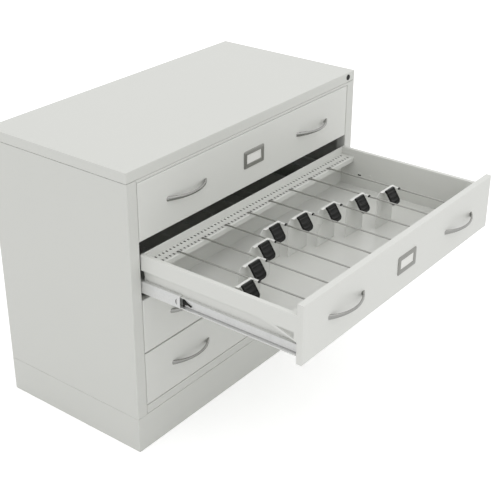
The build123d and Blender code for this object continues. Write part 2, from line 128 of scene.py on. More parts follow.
class Graph:
    """Places nodes in one tree."""

    def __init__(self, tree: bpy.types.NodeTree) -> None:
        """Keeps the tree."""
        self.tree = tree

    @staticmethod
    def pick(sockets: Iterable[bpy.types.NodeSocket], key: str | int) -> bpy.types.NodeSocket:
        """Finds a socket.

        Args:
            sockets: The inputs or outputs of a node.
            key: Identifier, name or place of the socket.

        Returns:
            The socket that fits the key.
        """
        listed = list(sockets)
        if isinstance(key, int):
            return listed[key]
        for socket in listed:
            if socket.identifier == key:
                return socket
        named = [socket for socket in listed if socket.name == key]
        return next((socket for socket in named if socket.enabled), named[0])

    def node(
        self,
        kind: str,
        settings: dict[str, object] | None = None,
        sockets: dict[str | int, Socketed] | None = None,
    ) -> Step:
        """Adds a node, sets it up and joins its sockets.

        Args:
            kind: Blender's type name of the node.
            settings: Its own properties, set first.
            sockets: Values or signals for its inputs.

        Returns:
            The node, to read its outputs from.
        """
        made = self.tree.nodes.new(kind)
        for name, value in (settings or {}).items():
            setattr(made, name, value)
        for key, value in (sockets or {}).items():
            socket = self.pick(made.inputs, key)
            if isinstance(value, Signal):
                self.tree.links.new(value.socket, socket)
            else:
                socket.default_value = value
        return Step(self, made)

    def point(self, scale: Triple | None = None) -> Signal:
        """The surface point in metres, stretched for grain that runs one way.

        Args:
            scale: Factor on each axis, or None for the plain point.

        Returns:
            The point as a vector.
        """
        where = self.node("ShaderNodeTexCoord")["Object"]
        if scale is None:
            return where
        sockets = {"Vector": where, "Scale": scale}
        return self.node("ShaderNodeMapping", {"vector_type": "POINT"}, sockets)["Vector"]

    def noise(self, where: Signal, scale: float, detail: float = 2.0, rough: float = 0.5) -> Signal:
        """Cloudy noise between 0 and 1.

        Args:
            where: The point to read it at.
            scale: Features per metre.
            detail: Number of finer layers.
            rough: Weight of the finer layers.

        Returns:
            The noise level.
        """
        sockets = {"Vector": where, "Scale": scale, "Detail": detail, "Roughness": rough}
        return self.node("ShaderNodeTexNoise", {"noise_dimensions": "3D"}, sockets)["Fac"]

    def tint(self, share: Signal, low: Rgb, high: Rgb) -> Signal:
        """Colour between two others.

        Args:
            share: 0 for the first, 1 for the second.
            low: First colour.
            high: Second colour.

        Returns:
            The mixed colour.
        """
        sockets = {"Factor_Float": share, "A_Color": (*low, 1.0), "B_Color": (*high, 1.0)}
        return self.node("ShaderNodeMix", {"data_type": "RGBA"}, sockets)["Result_Color"]

    def bump(self, height: Signal, strength: float, distance: float) -> Signal:
        """Surface normal with a fine relief.

        Args:
            height: Relief between 0 and 1.
            strength: How much of it shows.
            distance: Depth of the relief in metres.

        Returns:
            The normal.
        """
        sockets = {"Height": height, "Strength": strength, "Distance": distance}
        return self.node("ShaderNodeBump", None, sockets)["Normal"]


def blank(owner: bpy.types.Material | bpy.types.World) -> Graph:
    """Empties the node tree of a material or a world, and gives its graph."""
    owner.use_nodes = True
    owner.node_tree.nodes.clear()
    return Graph(owner.node_tree)


# ---------------------------------------------------------------- finishes


def lit(colour: Rgb, factor: float) -> Rgb:
    """The colour made lighter or darker by a factor."""
    return tuple(min(1.0, part * factor) for part in colour)


class Grain(Enum):
    """Lines per metre along X, Y and Z: few where the grain runs."""

    ROLLED = (900.0, 18.0, 900.0)
    LENGTHWAYS = (1500.0, 30.0, 1500.0)
    BOW = (40.0, 1600.0, 1600.0)
    BRUSHED = (60.0, 1600.0, 1600.0)
    UPRIGHT = (900.0, 900.0, 20.0)
    FIBRE = (420.0, 420.0, 1600.0)


@dataclass(frozen=True)
class Finish:
    """A surface finish, made once and shared by the pieces that have it."""

    name: str
    colour: Rgb
    roughness: float

    def material(self) -> bpy.types.Material:
        """Makes the material on first use.

        Returns:
            The Blender material of this finish.
        """
        known = bpy.data.materials.get(self.name)
        if known is not None:
            return known
        made = bpy.data.materials.new(self.name)
        graph = blank(made)
        shader = graph.node("ShaderNodeBsdfPrincipled", None, self.surface(graph))
        graph.node("ShaderNodeOutputMaterial", None, {"Surface": shader["BSDF"]})
        made.diffuse_color = (*self.colour, 1.0)
        return made

    def surface(self, graph: Graph) -> dict[str | int, Socketed]:
        """The sockets of the shader; each kind of finish gives its own."""
        raise NotImplementedError


@dataclass(frozen=True)
class Enamel(Finish):
    """Baked enamel on sheet steel, with a slight orange peel and a faint cloudiness."""

    cloud: float = 0.012
    peel: float = 0.22
    peel_scale: float = 620.0
    peel_deep: float = 0.06 * MM
    speck_scale: float = 2600.0

    def surface(self, graph: Graph) -> dict[str | int, Socketed]:
        """Sprayed and baked paint.

        Args:
            graph: The material's tree.

        Returns:
            Values and signals for the shader.
        """
        where = graph.point()
        clouds = graph.noise(where, 5.0, 3.0)
        speck = graph.noise(where, self.speck_scale, 1.0)
        skin = graph.noise(where, self.peel_scale, 3.0, 0.6)
        shade = clouds * 0.7 + speck * 0.3
        dark, light = lit(self.colour, 1 - self.cloud), lit(self.colour, 1 + self.cloud)
        return {
            "Base Color": graph.tint(shade, dark, light),
            "Roughness": self.roughness - 0.04 + clouds * 0.08,
            "IOR": 1.5,
            "Normal": graph.bump(skin, self.peel, self.peel_deep),
        }


@dataclass(frozen=True)
class Plated(Finish):
    """Plated or rolled metal with lines left by the rolls or the brush."""

    grain: Grain = Grain.ROLLED
    spangle: float = 0.0
    line_depth: float = 0.15
    metal: float = 1.0
    cell_scale: float = 210.0
    line_deep: float = 0.03 * MM

    def surface(self, graph: Graph) -> dict[str | int, Socketed]:
        """Rolled metal under a thin plating.

        Args:
            graph: The material's tree.

        Returns:
            Values and signals for the shader.
        """
        lines = graph.noise(graph.point(self.grain.value), 1.0, 3.0, 0.6)
        clouds = graph.noise(graph.point(), 22.0, 3.0)
        shade = lines * 0.6 + clouds * 0.4
        if self.spangle:
            sockets = {"Vector": graph.point(), "Scale": self.cell_scale}
            cells = graph.node("ShaderNodeTexVoronoi", {"feature": "F1"}, sockets)
            level = graph.node("ShaderNodeSeparateColor", None, {"Color": cells["Color"]})["Red"]
            shade = shade * (1 - self.spangle) + level * self.spangle
        return {
            "Base Color": graph.tint(shade, lit(self.colour, 0.86), lit(self.colour, 1.1)),
            "Metallic": self.metal,
            "Roughness": self.roughness - 0.06 + shade * 0.12,
            "Normal": graph.bump(lines, self.line_depth, self.line_deep),
        }


@dataclass(frozen=True)
class Moulded(Finish):
    """Moulded plastic with a spark-eroded grain."""

    texture: float = 0.35
    sheen: float = 0.2
    stipple_scale: float = 1900.0
    stipple_deep: float = 0.05 * MM

    def surface(self, graph: Graph) -> dict[str | int, Socketed]:
        """Plastic with a fine stipple and slightly rubbed patches.

        Args:
            graph: The material's tree.

        Returns:
            Values and signals for the shader.
        """
        where = graph.point()
        stipple = graph.noise(where, self.stipple_scale, 2.0, 0.7)
        rubbed = graph.noise(where, 55.0, 2.0)
        return {
            "Base Color": graph.tint(rubbed, lit(self.colour, 0.85), lit(self.colour, 1.25)),
            "Roughness": self.roughness + 0.1 - rubbed * 0.2,
            "Specular IOR Level": self.sheen,
            "Normal": graph.bump(stipple, self.texture, self.stipple_deep),
        }


@dataclass(frozen=True)
class CastMetal(Finish):
    """Sand-cast iron under a thin wash of paint."""

    sand_scale: float = 480.0
    sand_deep: float = 0.4 * MM

    def surface(self, graph: Graph) -> dict[str | int, Socketed]:
        """Rough grey casting.

        Args:
            graph: The material's tree.

        Returns:
            Values and signals for the shader.
        """
        where = graph.point()
        sand = graph.noise(where, self.sand_scale, 4.0, 0.65)
        stain = graph.noise(where, 14.0, 3.0)
        return {
            "Base Color": graph.tint(stain, lit(self.colour, 0.7), lit(self.colour, 1.3)),
            "Metallic": 0.4,
            "Roughness": self.roughness + sand * 0.15,
            "Normal": graph.bump(sand, 0.6, self.sand_deep),
        }


@dataclass(frozen=True)
class CardStock(Finish):
    """Blank index card, with its fibres."""

    fibre_deep: float = 0.03 * MM

    def surface(self, graph: Graph) -> dict[str | int, Socketed]:
        """Matt card with a soft fibre pattern.

        Args:
            graph: The material's tree.

        Returns:
            Values and signals for the shader.
        """
        fibre = graph.noise(graph.point(Grain.FIBRE.value), 1.0, 4.0, 0.7)
        return {
            "Base Color": graph.tint(fibre, lit(self.colour, 0.95), lit(self.colour, 1.04)),
            "Roughness": self.roughness + fibre * 0.1,
            "Normal": graph.bump(fibre, 0.2, self.fibre_deep),
        }


class Look(Enum):
    """Every finish on the cabinet, with the material slot it belongs to."""

    CASE = ("grey_paint", Enamel("case_enamel", (0.645, 0.652, 0.62), 0.34))
    DRAWER = ("drawer_paint", Enamel("drawer_enamel", (0.70, 0.706, 0.675), 0.30))
    FOLLOWER = ("follower_paint", Enamel("follower_enamel", (0.75, 0.755, 0.73), 0.28))
    ZINC = ("zinc", Plated("bright_zinc", (0.74, 0.745, 0.735), 0.38, spangle=0.2, metal=0.55))
    WIRE = ("bright_wire", Plated("drawn_wire", (0.42, 0.42, 0.40), 0.30, Grain.LENGTHWAYS))
    HANDLE = ("handle_metal", Plated("satin_chrome", (0.40, 0.40, 0.385), 0.24, Grain.BOW, line_depth=0.1))
    LABEL = ("label_frame", Plated("satin_nickel", (0.36, 0.36, 0.34), 0.34, Grain.BRUSHED))
    CARD = ("label_frame", CardStock("blank_card", (0.80, 0.80, 0.77), 0.75))
    BLACK = ("black_plastic", Moulded("black_moulding", (0.010, 0.0105, 0.0095), 0.32))
    LOCK = ("black_lock", Moulded("black_lock_gloss", (0.018, 0.018, 0.018), 0.2, texture=0.05))
    BAR = ("lock_steel", Plated("plain_steel", (0.48, 0.48, 0.48), 0.4, Grain.UPRIGHT))
    IRON = ("ballast_iron", CastMetal("cast_slab", (0.10, 0.10, 0.10), 0.65))
    GLIDE = ("glide_black", Moulded("glide_moulding", (0.03, 0.03, 0.03), 0.5))

    @property
    def slot(self) -> str:
        """Name of the record's material slot."""
        return self.value[0]

    @property
    def material(self) -> bpy.types.Material:
        """The Blender material of this finish."""
        return self.value[1].material()


def dress(look: Look, *names: str) -> None:
    """Gives CAD nodes their finish.

    Args:
        look: The finish.
        names: Names of the nodes.
    """
    for name in names:
        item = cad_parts[name]
        if not item.material_slots:
            item.data.materials.append(look.material)
        for place in item.material_slots:
            place.material = look.material
        log.info("dressed %s with %s", name, look.name.lower())


def settle(piece: bpy.types.Object, body: str, look: Look, *stands_for: str) -> bpy.types.Object:
    """Puts a made piece on its body.

    Args:
        piece: The piece, in place.
        body: The body it moves with.
        look: Its finish, already on the mesh.
        stands_for: CAD nodes that it takes the place of.

    Returns:
        The same piece.
    """
    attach(piece, body)
    look.slot
    if stands_for:
        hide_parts(*stands_for)
    log.info("made %s on %s, %d faces", piece.name, body, len(piece.data.polygons))
    return piece


# ---------------------------------------------------------------- mesh work


class Shell:
    """Closed mesh parts gathered into one piece, in metres."""

    def __init__(self) -> None:
        """Starts with nothing."""
        self.mesh = bmesh.new()

    def ring(self, points: Iterable[Vector]) -> list[bmesh.types.BMVert]:
        """Adds one ring of points."""
        return [self.mesh.verts.new(point) for point in points]

    def band(self, first: list[bmesh.types.BMVert], second: list[bmesh.types.BMVert]) -> None:
        """Joins two rings with a band of faces.

        Args:
            first: One ring.
            second: Another, with as many points.
        """
        for index in range(len(first)):
            after = (index + 1) % len(first)
            self.mesh.faces.new((first[index], first[after], second[after], second[index]))

    def rings(self, rings: Sequence[Sequence[Vector]], looped: bool = False) -> None:
        """Skins a row of rings.

        Args:
            rings: Rings with the same number of points.
            looped: True where the last ring joins the first; the ends are capped otherwise.
        """
        rows = [self.ring(points) for points in rings]
        for low, high in zip(rows, rows[1:]):
            self.band(low, high)
        if looped:
            self.band(rows[-1], rows[0])
        else:
            self.mesh.faces.new(rows[0][::-1])
            self.mesh.faces.new(rows[-1])

    def prism(self, outline: Sequence[Vector], along: Vector) -> None:
        """Pushes a flat outline along a vector."""
        self.rings([outline, [point + along for point in outline]])

    def turned(self, profile: Sequence[Pair], centre: Vector, axis: Vector, steps: int) -> None:
        """Turns a closed profile that stays clear of its axis.

        Args:
            profile: Radius and distance along the axis of each corner.
            centre: Origin of the axis.
            axis: Direction of the axis.
            steps: Steps round the full turn.
        """
        side, up = cross_axes(axis)
        rows = []
        for across, rise in circle(1.0, steps):
            out = side * across + up * rise
            rows.append([centre + out * radius + axis * place for radius, place in profile])
        self.rings(rows, looped=True)

    def domed(self, profile: Sequence[Pair], centre: Vector, axis: Vector, steps: int = 20) -> None:
        """Turns an open profile into a solid with flat ends.

        Args:
            profile: Radius and distance along the axis, from one end to the other.
            centre: Origin of the axis.
            axis: Direction of the axis.
            steps: Steps round the full turn.
        """
        side, up = cross_axes(axis)
        outs = [side * across + up * rise for across, rise in circle(1.0, steps)]
        self.rings([[centre + out * radius + axis * place for out in outs] for radius, place in profile])

    def face_outwards(self) -> None:
        """Turns the faces of each closed part outwards, going by the sign of its volume."""
        bmesh.ops.recalc_face_normals(self.mesh, faces=self.mesh.faces)
        seen = set()
        for start in self.mesh.faces:
            if start in seen:
                continue
            part, waiting = {start}, [start]
            while waiting:
                beside = {face for edge in waiting.pop().edges for face in edge.link_faces} - part
                part |= beside
                waiting += beside
            seen |= part
            if sum(face.calc_center_median().dot(face.normal) * face.calc_area() for face in part) < 0:
                bmesh.ops.reverse_faces(self.mesh, faces=[face for face in self.mesh.faces if face in part])

    def piece(self, name: str, look: Look, edge: float = 0.0, smooth: float = 35.0) -> bpy.types.Object:
        """Ends the piece as an object.

        Args:
            name: Name of the piece.
            look: Its finish.
            edge: Width of the rounding on its sharp edges, in metres.
            smooth: Edges below this angle, in degrees, are shaded smooth.

        Returns:
            The new object, at the origin.
        """
        self.face_outwards()
        data = bpy.data.meshes.new(name)
        self.mesh.to_mesh(data)
        self.mesh.free()
        data.materials.append(look.material)
        data.shade_smooth()
        data.set_sharp_from_angle(angle=math.radians(smooth))
        item = bpy.data.objects.new(name, data)
        bpy.context.scene.collection.objects.link(item)
        if edge:
            rounding = item.modifiers.new("edge_rounding", "BEVEL")
            rounding.width = edge
            rounding.segments = 2
            rounding.limit_method = "ANGLE"
            rounding.angle_limit = math.radians(40)
        return item


def spot(x: float = 0.0, y: float = 0.0, z: float = 0.0) -> Vector:
    """A point or a direction, in metres."""
    return Vector((x, y, z))


def circle(radius: float, steps: int, start: float = 0.0) -> list[Pair]:
    """Points round a circle, against the clock.

    Args:
        radius: Its radius.
        steps: Number of points.
        start: Share of a step that the first point stands beyond the first axis.

    Returns:
        The points.
    """
    turn = [2 * math.pi * (step + start) / steps for step in range(steps)]
    return [(radius * math.cos(angle), radius * math.sin(angle)) for angle in turn]


def cross_axes(axis: Vector) -> tuple[Vector, Vector]:
    """Two unit vectors square to an axis and to each other."""
    side = axis.orthogonal().normalized()
    return side, axis.cross(side).normalized()


def arc_point(foot: float, rise: float, share: float) -> Pair:
    """A point on the arc that stands on a straight line.

    Args:
        foot: Half the chord.
        rise: Height over the middle of the chord.
        share: From -1 at one foot to 1 at the other.

    Returns:
        Distance along the chord and height over it.
    """
    radius = (foot * foot + rise * rise) / (2 * rise)
    angle = math.asin(foot / radius) * share
    return radius * math.sin(angle), radius * math.cos(angle) - (radius - rise)


def oval(power: float, steps: int) -> list[Pair]:
    """Superellipse of half width and half height 1.

    Args:
        power: 2 for an ellipse, more for squarer shoulders.
        steps: Number of points.

    Returns:
        Points round the outline.
    """

    def squared(part: float) -> float:
        """One coordinate, pushed outwards."""
        return math.copysign(abs(part) ** (2 / power), part)

    return [(squared(wide), squared(tall)) for wide, tall in circle(1.0, steps, 0.5)]


def rounded_outline(wide: float, tall: float, radius: float, steps: int = 5) -> list[Pair]:
    """Rectangle with round corners, about the origin.

    Args:
        wide: Its width.
        tall: Its height.
        radius: Radius of the corners.
        steps: Points on each corner, less one.

    Returns:
        Points round the outline, against the clock.
    """
    points = []
    for quarter, (sx, sy) in enumerate(((1, 1), (-1, 1), (-1, -1), (1, -1))):
        for step in range(steps + 1):
            angle = math.pi / 2 * (quarter + step / steps)
            across, up = radius * math.cos(angle), radius * math.sin(angle)
            points.append((sx * (wide / 2 - radius) + across, sy * (tall / 2 - radius) + up))
    return points


# ---------------------------------------------------------------- geometry nodes


class Repeats:
    """Geometry Nodes trees for what repeats, each turned into a plain mesh."""

    @staticmethod
    def tree(name: str, inputs: dict[str, str]) -> tuple[Graph, Step]:
        """Starts a tree.

        Args:
            name: Name of the tree.
            inputs: Socket type of each named input after the geometry.

        Returns:
            The graph and its group input.
        """
        made = bpy.data.node_groups.new(name, "GeometryNodeTree")
        for label, kind in {"Geometry": "NodeSocketGeometry", **inputs}.items():
            made.interface.new_socket(label, in_out="INPUT", socket_type=kind)
        made.interface.new_socket("Geometry", in_out="OUTPUT", socket_type="NodeSocketGeometry")
        graph = Graph(made)
        return graph, graph.node("NodeGroupInput")

    @staticmethod
    def close(graph: Graph, shape: Signal, finish: Signal) -> bpy.types.NodeTree:
        """Ends a tree.

        Args:
            graph: The tree's graph.
            shape: Instances or mesh to give out.
            finish: The material.

        Returns:
            The finished tree.
        """
        real = graph.node("GeometryNodeRealizeInstances", None, {"Geometry": shape})["Geometry"]
        coat = {"Geometry": real, "Material": finish}
        painted = graph.node("GeometryNodeSetMaterial", None, coat)["Geometry"]
        graph.node("NodeGroupOutput", None, {"Geometry": painted})
        return graph.tree

    @staticmethod
    def rods(sides: int = 16, bend_steps: int = 6) -> bpy.types.NodeTree:
        """Tree that draws a wire along a bent line and repeats it.

        Args:
            sides: Points round the wire.
            bend_steps: Points on each bend.

        Returns:
            The tree.
        """
        kinds = {
            "Rods": "NodeSocketInt",
            "Pitch": "NodeSocketFloat",
            "Radius": "NodeSocketFloat",
            "Bend": "NodeSocketFloat",
            "Finish": "NodeSocketMaterial",
        }
        graph, given = Repeats.tree("bent_wires", kinds)
        line = graph.node("GeometryNodeMeshToCurve", None, {"Mesh": given["Geometry"]})["Curve"]
        corner = {"Curve": line, "Radius": given["Bend"], "Count": bend_steps}
        bent = graph.node("GeometryNodeFilletCurve", {"mode": "POLY"}, corner)["Curve"]
        ring = {"Resolution": sides, "Radius": given["Radius"]}
        section = graph.node("GeometryNodeCurvePrimitiveCircle", None, ring)["Curve"]
        sweep = {"Curve": bent, "Profile Curve": section, "Fill Caps": True}
        wire = graph.node("GeometryNodeCurveToMesh", None, sweep)["Mesh"]
        smooth = graph.node("GeometryNodeSetShadeSmooth", None, {"Geometry": wire})["Geometry"]
        apart = graph.node("ShaderNodeCombineXYZ", None, {"X": given["Pitch"]})["Vector"]
        line_up = {"Count": given["Rods"], "Offset": apart}
        row = graph.node("GeometryNodeMeshLine", {"mode": "OFFSET"}, line_up)["Mesh"]
        copies = {"Points": row, "Instance": smooth}
        spread = graph.node("GeometryNodeInstanceOnPoints", None, copies)["Instances"]
        return Repeats.close(graph, spread, given["Finish"])

    @staticmethod
    def fixings(seed: int = 4) -> bpy.types.NodeTree:
        """Tree that puts a copy of a fixing on every point, facing one way, each turned by chance.

        Args:
            seed: Seed of the turns.

        Returns:
            The tree.
        """
        kinds = {
            "Fixing": "NodeSocketObject",
            "Facing": "NodeSocketVector",
            "Turn": "NodeSocketFloat",
            "Finish": "NodeSocketMaterial",
        }
        graph, given = Repeats.tree("fixings_on_points", kinds)
        shape = graph.node("GeometryNodeObjectInfo", None, {"Object": given["Fixing"]})["Geometry"]
        facing = {"Vector": given["Facing"]}
        aim = graph.node("FunctionNodeAlignRotationToVector", {"axis": "Z"}, facing)["Rotation"]
        chance = {"Min_001": 0.0, "Max_001": given["Turn"], "Seed": seed}
        spin = graph.node("FunctionNodeRandomValue", {"data_type": "FLOAT"}, chance)["Value_001"]
        about = {"Axis": (0.0, 0.0, 1.0), "Angle": spin}
        turn = graph.node("FunctionNodeAxisAngleToRotation", None, about)["Rotation"]
        both = {"Rotation": aim, "Rotate By": turn}
        turned = graph.node("FunctionNodeRotateRotation", {"rotation_space": "LOCAL"}, both)["Rotation"]
        copies = {"Points": given["Geometry"], "Instance": shape, "Rotation": turned}
        spread = graph.node("GeometryNodeInstanceOnPoints", None, copies)["Instances"]
        return Repeats.close(graph, spread, given["Finish"])

    @staticmethod
    def grown(
        name: str,
        seed_mesh: bpy.types.Mesh,
        tree: bpy.types.NodeTree,
        values: dict[str, object],
    ) -> bpy.types.Object:
        """Runs a tree and keeps only the mesh it gives.

        Args:
            name: Name of the piece.
            seed_mesh: Mesh that the tree starts from.
            tree: The tree.
            values: Value of each named input.

        Returns:
            A plain mesh object with no modifier.
        """
        item = bpy.data.objects.new(name, seed_mesh)
        growth = item.modifiers.new("growth", "NODES")
        growth.node_group = tree
        for socket in tree.interface.items_tree:
            if socket.in_out == "INPUT" and socket.name in values:
                growth[socket.identifier] = values[socket.name]
        bpy.context.scene.collection.objects.link(item)
        view = bpy.context.evaluated_depsgraph_get()
        grown = item.evaluated_get(view)
        plain = bpy.data.meshes.new_from_object(grown, preserve_all_data_layers=True, depsgraph=view)
        item.modifiers.remove(growth)
        item.data = plain
        plain.name = name
        return item

    @staticmethod
    def points(places: Sequence[Vector], edges: Sequence[tuple[int, int]] = ()) -> bpy.types.Mesh:
        """A mesh of loose points, or of a line through them."""
        made = bpy.data.meshes.new("places")
        made.from_pydata([tuple(place) for place in places], list(edges), [])
        return made


@dataclass
class PanHead:
    """Low pan-head screw with a cross recess, built facing +Z."""

    radius: float = 3.0 * MM
    height: float = 0.8 * MM
    cross: float = 1.7 * MM
    arm: float = 0.4 * MM
    sunk: float = 0.4 * MM
    points: int = 16
    most_turn: float = 1.5

    def template(self) -> bpy.types.Object:
        """Builds the screw that the tree copies.

        Returns:
            The template, which is removed after use.
        """
        rim = ((0.98, -self.sunk), (1.0, self.height * 0.3), (0.86, self.height * 0.8))
        rings = [
            [spot(x, y, z) for x, y in circle(self.radius * share, self.points, 0.5)] for share, z in rim
        ]
        rings.append([spot(x, y, self.height) for x, y in self.star()])
        rings.append([spot(x * 0.7, y * 0.7, self.height * 0.2) for x, y in self.star()])
        shell = Shell()
        shell.rings(rings)
        return shell.piece("screw_template", Look.ZINC, smooth=50.0)

    def star(self) -> list[Pair]:
        """Cross-shaped outline of the recess, four points to each arm."""
        reach, arm, mid = self.cross, self.arm, self.cross * 0.55
        quarter = [(reach, arm), (mid, arm), (arm, mid), (arm, reach)]
        points = []
        for c, s in ((1, 0), (0, 1), (-1, 0), (0, -1)):
            points += [(x * c - y * s, x * s + y * c) for x, y in quarter]
        return points

    def row(self, name: str, body: str, places: Sequence[Vector], facing: Vector) -> None:
        """Makes one row of screws on one body.

        Args:
            name: Name of the piece.
            body: The body that the screws move with.
            places: Seat of each screw.
            facing: Direction of the heads.
        """
        pattern = self.template()
        tree = bpy.data.node_groups.get("fixings_on_points") or Repeats.fixings()
        values = {
            "Fixing": pattern,
            "Facing": tuple(facing),
            "Turn": self.most_turn,
            "Finish": Look.ZINC.material,
        }
        piece = Repeats.grown(name, Repeats.points(places), tree, values)
        bpy.data.objects.remove(pattern)
        settle(piece, body, Look.ZINC)


# ---------------------------------------------------------------- casework


@dataclass
class Casework:
    """Shell, plinth, uprights and lock of the cabinet."""

    bezel_radius: float = 8.0 * MM
    bezel_proud: float = 1.5 * MM
    bezel_slope: float = 1.6 * MM
    chamfer: float = 0.5 * MM
    body_radius: float = 6.5 * MM
    plug_radius: float = 5.0 * MM
    plug_gap: float = 0.12 * MM
    plug_edge: float = 0.3 * MM
    key_wide: float = 1.6 * MM
    key_tall: float = 6.5 * MM
    key_deep: float = 3.0 * MM
    pin_long: float = 5.0 * MM
    pin_radius: float = 1.5 * MM
    pin_tip: float = 1.2 * MM
    pin_sunk: float = 0.4 * MM
    pin_offset: float = 2.5 * MM

    def build(self) -> None:
        """Dresses the casework and makes the lock."""
        dress(Look.CASE, "top_shell", "top_frame", "side_panel_right", "side_panel_left")
        dress(Look.CASE, "rear_uprights", "back_panel", "bottom_pan", "base_plinth")
        dress(Look.GLIDE, "levelling_glides")
        dress(Look.IRON, "ballast_slab")
        dress(Look.BAR, "lock_bar")
        self.housing()
        self.plug()

    def lock_centre(self) -> Vector:
        """Middle of the lock on the face of the case."""
        low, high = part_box("lock_housing")
        return spot((low.x + high.x) / 2, low.y + self.bezel_proud, (low.z + high.z) / 2)

    def housing(self) -> None:
        """Turned bezel with the threaded body behind it."""
        centre = self.lock_centre()
        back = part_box("lock_housing")[1].y - centre.y
        bore = self.plug_radius + self.plug_gap
        proud, rim = self.bezel_proud, self.bezel_radius
        profile = [
            (bore, back),
            (bore, -0.7 * proud),
            (bore + self.chamfer, -0.9 * proud),
            (rim - self.bezel_slope, -proud),
            (rim - self.chamfer, -0.75 * proud),
            (rim, -0.3 * proud),
            (rim, 0.0),
            (self.body_radius, 0.0),
            (self.body_radius, back),
        ]
        shell = Shell()
        shell.turned(profile, centre, spot(y=1), 40)
        settle(shell.piece("lock_housing_turned", Look.LOCK), "cabinet", Look.LOCK, "lock_housing")

    def plug(self) -> None:
        """Turned plug with its keyway, and the pin that works the bar."""
        centre = self.lock_centre()
        low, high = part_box("lock_plug")
        face, back = low.y - centre.y, high.y - centre.y
        shoulder = back - self.pin_long
        shell = Shell()
        edge = circle(self.plug_radius, 32)
        key = rounded_outline(self.key_wide, self.key_tall, self.chamfer, 2)

        def ring(points: Sequence[Pair], y: float, scale: float = 1.0) -> list[bmesh.types.BMVert]:
            """Adds a ring of points square to the lock's axis."""
            return shell.ring(centre + spot(x * scale, y, z * scale) for x, z in points)

        front, side, tail = ring(edge, face, 0.94), ring(edge, face + self.plug_edge), ring(edge, shoulder)
        mouth, floor = ring(key, face), ring(key, face + self.key_deep)
        for first, second in ((front, side), (side, tail), (mouth, floor)):
            shell.band(first, second)
        shell.mesh.faces.new(tail)
        shell.mesh.faces.new(floor)
        rims = []
        for loop in (front, mouth):
            rims += [shell.mesh.edges.get(pair) for pair in zip(loop, loop[1:] + loop[:1])]
        bmesh.ops.triangle_fill(shell.mesh, use_beauty=True, use_dissolve=False, edges=rims)
        pin = [
            (self.pin_radius, shoulder - self.pin_sunk),
            (self.pin_radius, back - self.plug_edge),
            (self.pin_tip, back),
        ]
        shell.domed(pin, centre + spot(self.pin_offset, 0, -self.pin_offset), spot(y=1), 16)
        settle(shell.piece("lock_plug_turned", Look.LOCK), "lock_plug", Look.LOCK, "lock_plug")


# ---------------------------------------------------------------- drawers


